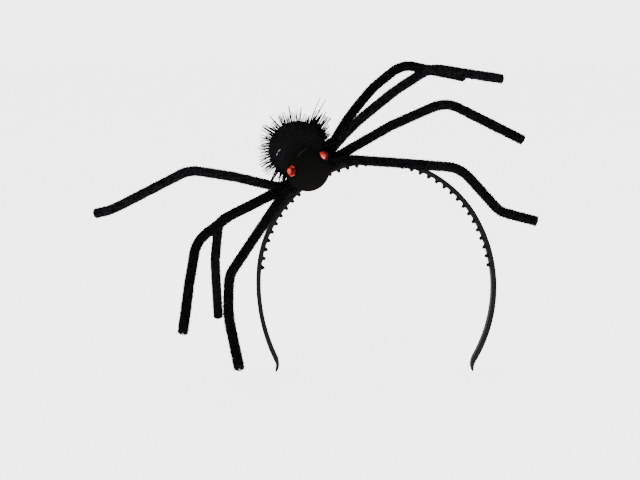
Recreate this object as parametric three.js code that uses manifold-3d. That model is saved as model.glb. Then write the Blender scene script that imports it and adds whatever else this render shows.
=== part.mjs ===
// Spider headband: a toothed plastic hair band with a spider of two balls, two cut stones and four
// bent chenille stems fixed to the left of its crown.
// Lengths are millimetres and angles degrees. +X is to the right seen from the front, +Y to the back,
// +Z up. The origin is the middle of the band's inner face at the top of the crown.
import * as THREE from 'three';
import { mergeVertices } from 'three/addons/utils/BufferGeometryUtils.js';
import { ConvexGeometry } from 'three/addons/geometries/ConvexGeometry.js';
import Module from 'manifold-3d';

// Hair band
const BAND_THICKNESS = 2.5;
const BAND_WIDTH = 9;
const TIP_WIDTH = 6;
const TIP_THICKNESS = 0.8;
const EDGE_CHAMFER = 0.45;
const CROWN_RADIUS = 66.75;
const TAPER_START = 0.35;
const STATION_STEP = 3.2;
const FLICK_STEP = 1.2;

// The band springs open a little more on the side that carries the spider. From the top of the crown
// each side is a crown arc, a side arc and a flick outwards: the radius as a share of the crown's
// radius, minus where the arc turns out, and the sweep.
const BAND_SIDES = {
  left: [
    { radius: 1, sweep: 85.6 },
    { radius: 1.51, sweep: 29.9 },
    { radius: -0.12, sweep: 57 },
  ],
  right: [
    { radius: 0.968, sweep: 59.2 },
    { radius: 1.219, sweep: 60.4 },
    { radius: -0.141, sweep: 49.3 },
  ],
};

// Teeth on the inner face, on a scalloped rib
const TEETH_EACH_SIDE = 18;
const TOOTH_PITCH = 5.41;
const TOOTH_LENGTH = 1.5;
const TOOTH_THICKNESS = 2.2;
const TOOTH_WIDTH = 2.2;
const TOOTH_SHIFT = -0.9;
const RIB_HEIGHT = 0.5;
const ROOT_SINK = 0.3;
const RIB_SHARES = [0.96, 0.62, 0.3];

// Gap between pieces that touch
const CLEARANCE = 0.3;

// Where the spider sits on the crown, and how far its body leans
const SEAT_ANGLE = -32.6;
const BODY_TILT = -27;

// Legs
const STEM_DIAMETER = 5.2;
const STEM_SIDES = 8;
const STEM_STEPS = 63;
const FRONT_OVERHANG = 1.1;
const CROSSING = 30;
const LEG_LENGTH = 125;
const KNEE_BEND = 18;
const MAX_BEND_SHARE = 0.48;

// Head, abdomen and eyes
const HEAD_DIAMETER = 24.6;
const HEAD_HEIGHT = 6.5;
const ABDOMEN_DIAMETER = 32.8;
const ABDOMEN_HEIGHT = 16.8;
const WINDINGS = 12;
const WINDING_DEPTH = 0.5;
const EYE_DIAMETER = 6;
const EYE_HEIGHT = 2.8;
const EYE_SEAT_DEPTH = 0.6;
const EYE_SEAT_MARGIN = 0.4;
const HEAD_SIDES = 26;
const ABDOMEN_SIDES = 24;
const SEAT_SIDES = 16;

// Locks of bristle fused to the abdomen
const LOCK_SPREAD = 110;
const LOCK_LENGTH = 7.5;
const LOCK_DIAMETER = 2.2;
const LOCK_SIDES = 4;
const LOCK_UNEVENNESS = 0.2;
const LOCK_VARIATION = 2.4;
const TUFT_LENGTH = 12;
const TUFT_LEAN = 50;
const TUFT_REACH = 45;
const HEAD_CAP = 48;
const SEAT_CAP = 52;

// Which way each stone faces: round from the front to its own side, and up
const EYES = [
  { name: 'eye_left', side: -1, spread: 42, rise: 18 },
  { name: 'eye_right', side: 1, spread: 65, rise: 14 },
];

// Levels of a stone from its back to its table: radius and height as shares of the stone's
const STONE_LEVELS = [
  { sides: 16, radius: 0.94, height: 0, turn: 0 },
  { sides: 16, radius: 1, height: 0.2, turn: 0 },
  { sides: 8, radius: 0.78, height: 0.66, turn: 0.5 },
  { sides: 8, radius: 0.48, height: 1, turn: 0 },
];

// One row for each stem, front to rear. A leg leaves the crossing at root, a share of the crossing's
// length from its middle. Each straight has its share of the leg's length, its direction seen from
// the front (0 to the right, 90 up), its lean to the front, and the bend before it as a share of the
// knee bend.
const STEMS = [
  {
    name: 'leg_stem_front',
    right: { root: 0.54, straights: [
      { share: 0.28, front: -3, lean: 17.5, bend: 2.2 },
      { share: 0.29, front: -4, lean: 11, bend: 3 },
      { share: 0.26, front: -48, lean: 5.5, bend: 1 },
      { share: 0.17, front: -14.5, lean: 5.5, bend: 0.7 },
    ] },
    left: { root: 0.48, straights: [
      { share: 0.525, front: 233.5, lean: 33.5, bend: 2.2 },
      { share: 0.18, front: 267.5, lean: 32.5, bend: 1 },
      { share: 0.29, front: 284, lean: 45.5, bend: 3 },
    ] },
  },
  {
    name: 'leg_stem_second',
    right: { root: 0.2, straights: [
      { share: 0.375, front: 30, lean: 2.5, bend: 2 },
      { share: 0.27, front: 24, lean: 3.5, bend: 4 },
      { share: 0.425, front: -26, lean: -15, bend: 1 },
    ] },
    left: { root: 0.52, straights: [
      { share: 0.295, front: 203.5, lean: 23.5, bend: 1.6 },
      { share: 0.215, front: 214.5, lean: 33.5, bend: 3 },
      { share: 0.215, front: 260.5, lean: 37, bend: 1.3 },
      { share: 0.245, front: 263, lean: 40.5, bend: 4 },
    ] },
  },
  {
    name: 'leg_stem_third',
    right: { root: 0.19, straights: [
      { share: 0.23, front: 51, lean: 3, bend: 1.5 },
      { share: 0.285, front: 37.5, lean: -16, bend: 5 },
      { share: 0.2, front: 31.5, lean: -16, bend: 4.4 },
      { share: 0.375, front: -8.5, lean: -18.5, bend: 1.2 },
    ] },
    left: { root: 0.55, straights: [
      { share: 0.23, front: 167, lean: -5, bend: 0.8 },
      { share: 0.21, front: 171.5, lean: -8.5, bend: 6 },
      { share: 0.44, front: 208, lean: -19, bend: 1 },
      { share: 0.095, front: 195, lean: -29.5, bend: 3 },
    ] },
  },
  {
    name: 'leg_stem_rear',
    right: { root: 0.29, straights: [
      { share: 0.245, front: 59, lean: -11.5, bend: 1.2 },
      { share: 0.21, front: 47.5, lean: -29.5, bend: 6 },
      { share: 0.195, front: 37.5, lean: -24, bend: 2.8 },
      { share: 0.42, front: -11, lean: -37.5, bend: 1.3 },
    ] },
    left: { root: 0.52, straights: [
      { share: 0.225, front: 210, lean: -18.5, bend: 0.8 },
      { share: 0.18, front: 209, lean: -39, bend: 2.5 },
      { share: 0.245, front: 264, lean: -31.5, bend: 0.9 },
      { share: 0.345, front: 272, lean: -30.5, bend: 5 },
    ] },
  },
];

const MERGE_DISTANCE = 1e-4;

const wasm = await Module();
wasm.setup();

const radians = THREE.MathUtils.degToRad;
const UP = new THREE.Vector3(0, 0, 1);
const Y_AXIS = new THREE.Vector3(0, 1, 0);

// Radii and places that follow from the sizes above
const INNER_RADIUS = CROWN_RADIUS - BAND_THICKNESS / 2;
const OUTER_RADIUS = CROWN_RADIUS + BAND_THICKNESS / 2;
const HEAD_RADIUS = HEAD_DIAMETER / 2;
const ABDOMEN_RADIUS = ABDOMEN_DIAMETER / 2;
const SEAT_RADIUS = EYE_DIAMETER / 2 + EYE_SEAT_MARGIN;

// The seat is the spot on the outer face under the spider, with the ways out and across there
const OUTWARD = new THREE.Vector3(Math.sin(radians(SEAT_ANGLE)), 0, Math.cos(radians(SEAT_ANGLE)));
const ACROSS = new THREE.Vector3(OUTWARD.z, 0, -OUTWARD.x);
const SEAT = new THREE.Vector3(0, 0, -INNER_RADIUS).addScaledVector(OUTWARD, OUTER_RADIUS);

// The head stands against the band's front edge, and the abdomen against the head
const HEAD_STANDOFF = Math.sqrt((HEAD_RADIUS + CLEARANCE) ** 2 - HEAD_HEIGHT ** 2);
const HEAD_PLACE = new THREE.Vector3(0, -BAND_WIDTH / 2 - HEAD_STANDOFF, HEAD_HEIGHT);
const BALL_SPACING = HEAD_RADIUS + ABDOMEN_RADIUS + CLEARANCE;
const BALL_RISE = ABDOMEN_HEIGHT - HEAD_HEIGHT;
const BALL_RUN = Math.sqrt(BALL_SPACING ** 2 - BALL_RISE ** 2);
const ABDOMEN_PLACE = HEAD_PLACE.clone().add(new THREE.Vector3(0, BALL_RUN, BALL_RISE));
const HEAD_TO_ABDOMEN = ABDOMEN_PLACE.clone().sub(HEAD_PLACE).normalize();

// A closed solid for cutting and joining, from a geometry whose vertices are merged
function toSolid(geometry) {
  const bare = geometry.clone();
  bare.deleteAttribute('normal');
  bare.deleteAttribute('uv');
  const merged = mergeVertices(bare, MERGE_DISTANCE);
  const triangles = [];
  for (let i = 0; i < merged.index.count; i += 3) {
    const [a, b, c] = merged.index.array.slice(i, i + 3);
    if (a !== b && b !== c && c !== a) triangles.push(a, b, c);
  }
  return new wasm.Manifold(new wasm.Mesh({
    numProp: 3,
    vertProperties: new Float32Array(merged.attributes.position.array),
    triVerts: new Uint32Array(triangles),
  }));
}

function toGeometry(solid) {
  const mesh = solid.getMesh();
  const geometry = new THREE.BufferGeometry();
  geometry.setAttribute('position', new THREE.BufferAttribute(mesh.vertProperties, mesh.numProp));
  geometry.setIndex(new THREE.BufferAttribute(mesh.triVerts, 1));
  geometry.computeVertexNormals();
  return geometry;
}

// Cuts leave crumbs of a lock now and then, so only the largest body is kept
function largestBody(solid) {
  return solid.decompose().reduce((a, b) => (b.volume() > a.volume() ? b : a));
}

// Closed skin over rings with equal numbers of points, with a fan at each end
function loft(rings) {
  const sides = rings[0].length;
  const positions = rings.flat().flatMap((p) => [p.x, p.y, p.z]);
  const index = [];
  for (let ring = 0; ring < rings.length - 1; ring += 1) {
    for (let side = 0; side < sides; side += 1) {
      const next = (side + 1) % sides;
      const a = ring * sides + side;
      const b = ring * sides + next;
      index.push(a, b + sides, b, a, a + sides, b + sides);
    }
  }
  const last = (rings.length - 1) * sides;
  for (let side = 1; side < sides - 1; side += 1) {
    index.push(0, side, side + 1);
    index.push(last, last + side + 1, last + side);
  }
  const geometry = new THREE.BufferGeometry();
  geometry.setAttribute('position', new THREE.Float32BufferAttribute(positions, 3));
  geometry.setIndex(index);
  return geometry;
}

// One side of the band: its arcs, its length to the tip and the length of its flick
function bandSide(rows, sign) {
  const arcs = rows.map(({ radius, sweep }) => ({
    radius: radius * CROWN_RADIUS,
    length: Math.abs(radius) * CROWN_RADIUS * radians(sweep),
  }));
  const length = arcs.reduce((sum, arc) => sum + arc.length, 0);
  return { arcs, sign, length, flick: arcs[arcs.length - 1].length };
}

const LEFT = bandSide(BAND_SIDES.left, -1);
const RIGHT = bandSide(BAND_SIDES.right, 1);

// Place on one side's centreline at a distance from the top, with its slope below horizontal
function bandAt(side, run) {
  let [x, z, slope, left] = [0, BAND_THICKNESS / 2, 0, run];
  for (const { radius, length } of side.arcs) {
    const turned = slope + Math.min(left, length) / radius;
    x += radius * (Math.sin(turned) - Math.sin(slope));
    z += radius * (Math.cos(turned) - Math.cos(slope));
    slope = turned;
    left -= Math.min(left, length);
  }
  return { x, z, slope, run };
}

// Distances from the top at which the band has a section, closer together round the flick
function stationRuns(side) {
  const runs = [0];
  for (const arc of side.arcs) {
    const start = runs[runs.length - 1];
    const count = Math.ceil(arc.length / (arc.radius < 0 ? FLICK_STEP : STATION_STEP));
    for (let i = 1; i <= count; i += 1) runs.push(start + arc.length * i / count);
  }
  return runs;
}

// Section of the band on one side, with its edges cut back, grown all round by extra
function bandRing(side, run, extra) {
  const at = bandAt(side, run);
  const taper = Math.max(0, (run / side.length - TAPER_START) / (1 - TAPER_START));
  const thin = Math.max(0, 1 - (side.length - run) / side.flick);
  const w = THREE.MathUtils.lerp(BAND_WIDTH, TIP_WIDTH, taper) / 2 + extra;
  const t = THREE.MathUtils.lerp(BAND_THICKNESS, TIP_THICKNESS, thin) / 2 + extra;
  const cut = Math.min(EDGE_CHAMFER, t / 2);
  const corners = [
    [w - cut, t], [w, t - cut], [w, cut - t], [w - cut, -t],
    [cut - w, -t], [-w, cut - t], [-w, t - cut], [cut - w, t],
  ];
  return corners.map(([y, out]) => new THREE.Vector3(
    side.sign * (at.x + out * Math.sin(at.slope)),
    y,
    at.z + out * Math.cos(at.slope),
  ));
}

// The hoop from the left tip over the crown to the right tip
function hoop(extra) {
  const left = stationRuns(LEFT).slice(1).reverse().map((run) => bandRing(LEFT, run, extra));
  const right = stationRuns(RIGHT).map((run) => bandRing(RIGHT, run, extra));
  return loft([...left, ...right]);
}

// Half of one tooth's outline and of its share of the scalloped rib, mirrored into a closed profile
function toothProfile() {
  const half = TOOTH_THICKNESS / 2;
  const reach = TOOTH_PITCH / 2;
  const rib = RIB_SHARES.map((share) => new THREE.Vector2(
    THREE.MathUtils.lerp(half, reach, share),
    RIB_HEIGHT * (1 - share) ** 2,
  ));
  const flank = [
    new THREE.Vector2(reach, -ROOT_SINK),
    ...rib,
    new THREE.Vector2(half, RIB_HEIGHT),
    new THREE.Vector2(half, TOOTH_LENGTH - half),
    new THREE.Vector2(half / 2, TOOTH_LENGTH),
  ];
  const mirrored = flank.map((p) => new THREE.Vector2(-p.x, p.y)).reverse();
  return new THREE.Shape([...flank, ...mirrored]);
}

// A tooth hangs from the inner face, square to the band where it stands. The row of teeth is shifted
// along the hoop, minus to the left.
function tooth(index) {
  const side = index < 0 ? LEFT : RIGHT;
  const at = bandAt(side, side.sign * (index * TOOTH_PITCH + TOOTH_SHIFT));
  const geometry = new THREE.ExtrudeGeometry(toothProfile(), { depth: TOOTH_WIDTH, bevelEnabled: false });
  geometry.translate(0, 0, -TOOTH_WIDTH / 2);
  geometry.rotateX(-Math.PI / 2);
  geometry.translate(0, 0, -BAND_THICKNESS / 2);
  geometry.rotateY(side.sign * at.slope);
  return geometry.translate(side.sign * at.x, 0, at.z);
}

function bandGeometry() {
  let body = toSolid(hoop(0));
  for (let i = -TEETH_EACH_SIDE; i <= TEETH_EACH_SIDE; i += 1) body = body.add(toSolid(tooth(i)));
  return toGeometry(body);
}

// Direction seen at an angle from the front, leaning towards the front by another
function direction(front, lean) {
  const across = Math.cos(radians(lean));
  return new THREE.Vector3(
    across * Math.cos(radians(front)),
    -Math.sin(radians(lean)),
    across * Math.sin(radians(front)),
  );
}

// Corners of one leg from its root outwards, and the bend radius at each
function legCorners(leg, side) {
  const corners = [ACROSS.clone().multiplyScalar(side * leg.root * CROSSING)];
  for (const { share, front, lean } of leg.straights) {
    const reach = direction(front, lean).multiplyScalar(share * LEG_LENGTH);
    corners.push(corners[corners.length - 1].clone().add(reach));
  }
  return { corners, bends: [...leg.straights.map(({ bend }) => bend * KNEE_BEND), 0] };
}

// Straights joined by bends, each bend limited by the straights beside it
function bentPath(corners, bends) {
  const path = new THREE.CurvePath();
  let from = corners[0];
  for (let i = 1; i < corners.length - 1; i += 1) {
    const before = corners[i].clone().sub(corners[i - 1]);
    const after = corners[i + 1].clone().sub(corners[i]);
    const room = MAX_BEND_SHARE * Math.min(before.length(), after.length());
    const cut = Math.min(bends[i] * Math.tan(before.angleTo(after) / 2), room);
    const start = corners[i].clone().addScaledVector(before.normalize(), -cut);
    const end = corners[i].clone().addScaledVector(after.normalize(), cut);
    path.add(new THREE.LineCurve3(from, start));
    path.add(new THREE.QuadraticBezierCurve3(start, corners[i], end));
    from = end;
  }
  path.add(new THREE.LineCurve3(from, corners[corners.length - 1]));
  return path;
}

// A whole stem about the middle of its crossing: left foot, crossing, right foot
function stemGeometry(row, diameter) {
  const left = legCorners(row.left, -1);
  const right = legCorners(row.right, 1);
  const path = bentPath(
    [...left.corners.reverse(), ...right.corners],
    [...left.bends.reverse(), ...right.bends],
  );
  const rim = new THREE.EllipseCurve(0, 0, diameter / 2, diameter / 2).getPoints(STEM_SIDES).slice(1);
  return new THREE.ExtrudeGeometry(new THREE.Shape(rim), {
    steps: STEM_STEPS,
    extrudePath: path,
    bevelEnabled: false,
  });
}

function stemPlace(index) {
  const pitch = STEM_DIAMETER + CLEARANCE;
  const place = SEAT.clone().addScaledVector(OUTWARD, STEM_DIAMETER / 2 + CLEARANCE);
  place.y = index * pitch - BAND_WIDTH / 2 - FRONT_OVERHANG;
  return place;
}

// What presses into the head and the abdomen: the stems and the band, grown by the clearance
function pressedSolids() {
  const stems = STEMS.map((row, index) => {
    const grown = stemGeometry(row, STEM_DIAMETER + 2 * CLEARANCE);
    const place = stemPlace(index);
    return toSolid(grown.translate(place.x, place.y, place.z));
  });
  return [...stems, toSolid(hoop(CLEARANCE))];
}

// Cuts solids given in the part's frame out of a solid given in its own frame
function cutInPlace(solid, frame, cutters) {
  frame.updateWorldMatrix(true, false);
  const toFrame = frame.matrixWorld.clone().invert();
  return cutters.reduce((left, cutter) => left.subtract(cutter.transform(toFrame.elements)), solid);
}

// Flat seat for a stone, sunk a little into the ball
function eyeSeat(facing) {
  const seat = new THREE.CylinderGeometry(SEAT_RADIUS, SEAT_RADIUS, EYE_HEIGHT, SEAT_SIDES);
  seat.rotateX(Math.PI / 2);
  seat.translate(0, 0, HEAD_RADIUS - EYE_SEAT_DEPTH + EYE_HEIGHT / 2);
  seat.applyQuaternion(new THREE.Quaternion().setFromUnitVectors(UP, facing));
  return toSolid(seat);
}

function headGeometry(frame, pressed) {
  const ball = toSolid(new THREE.SphereGeometry(HEAD_RADIUS, HEAD_SIDES, HEAD_SIDES / 2));
  const seated = EYES.reduce((solid, row) => solid.subtract(eyeSeat(eyeFacing(row))), ball);
  return toGeometry(largestBody(cutInPlace(seated, frame, pressed)));
}

function eyeFacing({ side, spread, rise }) {
  const level = Math.cos(radians(rise));
  return new THREE.Vector3(
    side * level * Math.sin(radians(spread)),
    -level * Math.cos(radians(spread)),
    Math.sin(radians(rise)),
  );
}

// Points of a stone's level: a ring turned by half a facet on every other level
function stoneRing({ sides, radius, height, turn }) {
  return Array.from({ length: sides }, (_, i) => {
    const angle = 2 * Math.PI * (i + turn) / sides;
    return new THREE.Vector3(
      radius * EYE_DIAMETER / 2 * Math.cos(angle),
      radius * EYE_DIAMETER / 2 * Math.sin(angle),
      height * EYE_HEIGHT,
    );
  });
}

// Flat-backed stone with an eight-sided table, eight kites and their girdle facets
function eyeGeometry() {
  return new ConvexGeometry(STONE_LEVELS.flatMap(stoneRing));
}

function eye(row) {
  const facing = eyeFacing(row);
  const mesh = piece(row.name, eyeGeometry(), RED_STONE);
  mesh.quaternion.setFromUnitVectors(UP, facing);
  mesh.position.copy(facing).multiplyScalar(HEAD_RADIUS - EYE_SEAT_DEPTH + CLEARANCE);
  return mesh;
}

// Ball wound with yarn: rings of ridges round the line from head to abdomen
function woundBall() {
  const profile = [];
  for (let i = 0; i <= 2 * WINDINGS; i += 1) {
    const angle = Math.PI * i / (2 * WINDINGS);
    const radius = ABDOMEN_RADIUS - (i % 2 ? 0 : WINDING_DEPTH);
    profile.push(new THREE.Vector2(Math.abs(radius * Math.sin(angle)), -radius * Math.cos(angle)));
  }
  profile[0].x = 0;
  profile[2 * WINDINGS].x = 0;
  const ball = new THREE.LatheGeometry(profile, ABDOMEN_SIDES);
  return ball.applyQuaternion(new THREE.Quaternion().setFromUnitVectors(Y_AXIS, HEAD_TO_ABDOMEN));
}

// Directions spread evenly over a ball by the golden angle, without those under the head or down on
// the crossing
function lockDirections() {
  const golden = Math.PI * (3 - Math.sqrt(5));
  const all = Array.from({ length: LOCK_SPREAD }, (_, i) => {
    const height = 1 - 2 * (i + 0.5) / LOCK_SPREAD;
    const radius = Math.sqrt(1 - height * height);
    return new THREE.Vector3(radius * Math.cos(golden * i), radius * Math.sin(golden * i), height);
  });
  const clearOfHead = -Math.cos(radians(HEAD_CAP));
  const clearOfSeat = -Math.cos(radians(SEAT_CAP));
  return all.filter((d) => d.dot(HEAD_TO_ABDOMEN) > clearOfHead && d.z > clearOfSeat);
}

// A tapered lock of bristle, longer towards the tuft at the upper right
function lock(facing, index) {
  const tuft = new THREE.Vector3(Math.sin(radians(TUFT_LEAN)), 0, Math.cos(radians(TUFT_LEAN)));
  const near = Math.max(0, 1 - facing.angleTo(tuft) / radians(TUFT_REACH));
  const uneven = 1 + LOCK_UNEVENNESS * Math.sin(index * LOCK_VARIATION);
  const length = THREE.MathUtils.lerp(LOCK_LENGTH, TUFT_LENGTH, near) * uneven;
  const root = ABDOMEN_RADIUS - WINDING_DEPTH - LOCK_DIAMETER / 2;
  const cone = new THREE.ConeGeometry(LOCK_DIAMETER / 2, length + LOCK_DIAMETER / 2, LOCK_SIDES);
  cone.translate(0, root + (length + LOCK_DIAMETER / 2) / 2, 0);
  return cone.applyQuaternion(new THREE.Quaternion().setFromUnitVectors(Y_AXIS, facing));
}

function abdomenGeometry(frame, pressed) {
  const locks = lockDirections().map((facing, index) => toSolid(lock(facing, index)));
  const furred = locks.reduce((body, cone) => body.add(cone), toSolid(woundBall()));
  return toGeometry(largestBody(cutInPlace(furred, frame, pressed)));
}

function piece(name, geometry, look) {
  const mesh = new THREE.Mesh(geometry, look);
  mesh.name = name;
  return mesh;
}

function look(color, roughness) {
  return new THREE.MeshStandardMaterial({ color, roughness, metalness: 0 });
}

const BLACK_PLASTIC = look(0x101010, 0.3);
const BLACK_CHENILLE = look(0x0b0b0b, 0.9);
const BLACK_FLOCK = look(0x141414, 0.8);
const BLACK_YARN = look(0x0d0d0e, 0.75);
const RED_STONE = look(0xc01808, 0.08);

// The spider's frame stands on the band's outer face, leaning less than the crown does there
const spider = new THREE.Group();
spider.position.copy(SEAT);
spider.rotation.y = radians(BODY_TILT);

const headFrame = new THREE.Group();
headFrame.position.copy(HEAD_PLACE);
const abdomenFrame = new THREE.Group();
abdomenFrame.position.copy(ABDOMEN_PLACE);
spider.add(headFrame, abdomenFrame);

const pressed = pressedSolids();
headFrame.add(piece('head', headGeometry(headFrame, pressed), BLACK_FLOCK));
headFrame.add(...EYES.map(eye));
abdomenFrame.add(piece('abdomen', abdomenGeometry(abdomenFrame, pressed), BLACK_YARN));

const headband = new THREE.Group();
headband.add(piece('hair_band', bandGeometry(), BLACK_PLASTIC), spider);
STEMS.forEach((row, index) => {
  const stem = piece(row.name, stemGeometry(row, STEM_DIAMETER), BLACK_CHENILLE);
  stem.position.copy(stemPlace(index));
  headband.add(stem);
});

export default headband;
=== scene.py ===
"""Spider headband: the looks of a toothed hair band with a furry spider on its crown.

Sizes in the classes are millimetres and degrees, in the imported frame: +X to the right seen from the
front, +Y to the back, +Z up, with the origin at the middle of the band's inner face at the crown's top.
Meshes are written in metres.
"""

import logging
import math
from dataclasses import dataclass, field
from enum import Enum
from typing import Any, Iterable, Union

import bpy
import numpy as np
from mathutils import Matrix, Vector
from mathutils.bvhtree import BVHTree

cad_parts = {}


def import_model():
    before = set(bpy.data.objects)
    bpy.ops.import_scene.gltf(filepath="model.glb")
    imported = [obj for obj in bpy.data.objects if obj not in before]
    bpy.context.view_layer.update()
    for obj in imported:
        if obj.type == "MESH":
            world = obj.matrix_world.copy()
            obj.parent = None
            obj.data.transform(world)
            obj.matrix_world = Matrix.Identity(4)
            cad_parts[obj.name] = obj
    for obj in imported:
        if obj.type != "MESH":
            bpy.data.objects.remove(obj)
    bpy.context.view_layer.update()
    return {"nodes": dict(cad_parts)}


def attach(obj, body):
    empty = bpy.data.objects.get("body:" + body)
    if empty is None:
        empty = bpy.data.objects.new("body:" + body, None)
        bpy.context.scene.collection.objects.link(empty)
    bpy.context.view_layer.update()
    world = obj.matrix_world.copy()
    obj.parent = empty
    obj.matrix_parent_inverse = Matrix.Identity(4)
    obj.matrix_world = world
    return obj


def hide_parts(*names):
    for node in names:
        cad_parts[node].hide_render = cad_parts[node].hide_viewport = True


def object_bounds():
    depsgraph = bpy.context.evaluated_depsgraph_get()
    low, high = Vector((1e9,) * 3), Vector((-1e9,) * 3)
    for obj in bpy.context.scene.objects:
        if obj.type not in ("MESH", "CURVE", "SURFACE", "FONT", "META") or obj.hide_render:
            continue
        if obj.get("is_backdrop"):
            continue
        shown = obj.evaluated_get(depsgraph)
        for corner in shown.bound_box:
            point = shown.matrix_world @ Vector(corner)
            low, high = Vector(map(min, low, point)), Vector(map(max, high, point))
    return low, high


LOG = logging.getLogger("spider_headband")
MM = 0.001
PILE_SEED = 40
STONE_SEED = 7
BODY = "root"
Array = np.ndarray
Colour = tuple[float, float, float]
Place = tuple[float, float, float]
Operand = Union["Value", float]


def unit(vectors: Array) -> Array:
    """Vectors scaled to length one."""
    return vectors / np.linalg.norm(vectors, axis=-1, keepdims=True)


def lerp(start: Any, end: Any, share: Any) -> Any:
    """The value a share of the way from start to end."""
    return start + (end - start) * share


def front_way(front: float, lean: float) -> Array:
    """Unit way seen at an angle from the front, leaning to the front by another, in degrees."""
    f, t = math.radians(front), math.radians(lean)
    return np.array([math.cos(t) * math.cos(f), -math.sin(t), math.cos(t) * math.sin(f)])


def ball_ways(rings: int) -> Array:
    """Unit ways in rings by turns by three over a ball, without its poles.

    Args:
        rings: Rings from pole to pole; each has twice as many turns.

    Returns:
        The ways.
    """
    polar = math.pi * (np.arange(rings - 1) + 1) / rings
    turn = 2 * math.pi * np.arange(2 * rings) / (2 * rings)
    polar, turn = np.meshgrid(polar, turn, indexing="ij")
    return np.stack([np.sin(polar) * np.cos(turn), np.sin(polar) * np.sin(turn), np.cos(polar)], axis=-1)


class Value:
    """A number socket that can be used in Python sums; each sum adds a Math node."""

    def __init__(self, graph: "Graph", socket: bpy.types.NodeSocket) -> None:
        """Wraps a socket of the graph."""
        self.graph = graph
        self.socket = socket

    def _math(self, operation: str, first: Operand, second: Operand) -> "Value":
        """One Math node of the two operands."""
        return self.graph.node("ShaderNodeMath", {"operation": operation}, {0: first, 1: second})

    def __add__(self, other: Operand) -> "Value":
        """self + other."""
        return self._math("ADD", self, other)

    __radd__ = __add__

    def __mul__(self, other: Operand) -> "Value":
        """self * other."""
        return self._math("MULTIPLY", self, other)

    __rmul__ = __mul__

    def __sub__(self, other: Operand) -> "Value":
        """self - other."""
        return self._math("SUBTRACT", self, other)

    def __rsub__(self, other: Operand) -> "Value":
        """other - self."""
        return self._math("SUBTRACT", other, self)

    def part(self, axis: str) -> "Value":
        """One part of a vector socket, X, Y or Z."""
        return self.graph.node("ShaderNodeSeparateXYZ", {}, {0: self}, output=axis)


class Graph:
    """The node tree of one material or world."""

    # Numbers of the mix node's colour sockets, whose names other types share
    MIX_FACTOR, MIX_FIRST, MIX_SECOND, MIX_RESULT = 0, 6, 7, 2

    def __init__(self, owner: Union[bpy.types.Material, bpy.types.World]) -> None:
        """Empties the owner's node tree.

        Args:
            owner: The material or world.
        """
        self.owner = owner
        owner.use_nodes = True
        self.tree = owner.node_tree
        self.tree.nodes.clear()

    @classmethod
    def named(cls, name: str) -> "Graph":
        """The graph of a new material."""
        return cls(bpy.data.materials.new(name))

    def node(
        self,
        kind: str,
        settings: dict[str, Any],
        sockets: dict[Union[int, str], Any],
        output: Union[int, str] = 0,
    ) -> Value:
        """Adds one node.

        Args:
            kind: The node's type.
            settings: Its settings, set before its sockets; stops are a ramp's positions and colours.
            sockets: Values or links by socket name or number.
            output: The output that the result stands for.

        Returns:
            The chosen output.
        """
        made = self.tree.nodes.new(kind)
        for name, value in settings.items():
            if name == "stops":
                self._set_stops(made.color_ramp.elements, value)
            else:
                setattr(made, name, value)
        for name, value in sockets.items():
            if isinstance(value, Value):
                self.tree.links.new(value.socket, made.inputs[name])
            else:
                made.inputs[name].default_value = value
        return Value(self, made.outputs[output]) if made.outputs else Value(self, made.inputs[0])

    @staticmethod
    def _set_stops(elements: Any, stops: list[tuple[float, Colour]]) -> None:
        """Gives a ramp its stops.

        Args:
            elements: The ramp's elements.
            stops: Positions and colours.
        """
        while len(elements) < len(stops):
            elements.new(1.0)
        for element, (position, colour) in zip(elements, stops):
            element.position = position
            element.color = (*colour, 1.0)

    def place(self) -> Value:
        """Place on the surface in metres in the object's own frame."""
        return self.node("ShaderNodeTexCoord", {}, {}, output="Object")

    def noise(self, per_metre: float, detail: float = 3.0, roughness: float = 0.5) -> Value:
        """Noise value of a given number of lumps to the metre."""
        sockets = {"Vector": self.place(), "Scale": per_metre, "Detail": detail, "Roughness": roughness}
        return self.node("ShaderNodeTexNoise", {}, sockets)

    def ramp(self, factor: Value, stops: list[tuple[float, Colour]]) -> Value:
        """Colours chosen by a value."""
        return self.node("ShaderNodeValToRGB", {"stops": stops}, {0: factor})

    def blend(self, factor: Operand, first: Any, second: Any) -> Value:
        """Mix of two colours.

        Args:
            factor: Share of the second colour.
            first: A colour or a link.
            second: A colour or a link.

        Returns:
            The mixed colour.
        """
        colours = [c if isinstance(c, Value) else (*c, 1.0) for c in (first, second)]
        sockets = {self.MIX_FACTOR: factor, self.MIX_FIRST: colours[0], self.MIX_SECOND: colours[1]}
        return self.node("ShaderNodeMix", {"data_type": "RGBA"}, sockets, output=self.MIX_RESULT)

    def bump(self, height: Value, depth_mm: float) -> Value:
        """Normal bent by a height of 0 to 1."""
        sockets = {"Height": height, "Distance": depth_mm * MM, "Strength": 1.0}
        return self.node("ShaderNodeBump", {}, sockets)

    def surface(self, sockets: dict[str, Any]) -> bpy.types.Material:
        """Ends the material in a Principled shader.

        Args:
            sockets: The shader's values and links by socket name.

        Returns:
            The finished material.
        """
        shader = self.node("ShaderNodeBsdfPrincipled", {}, sockets)
        self.node("ShaderNodeOutputMaterial", {}, {"Surface": shader})
        return self.owner


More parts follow.
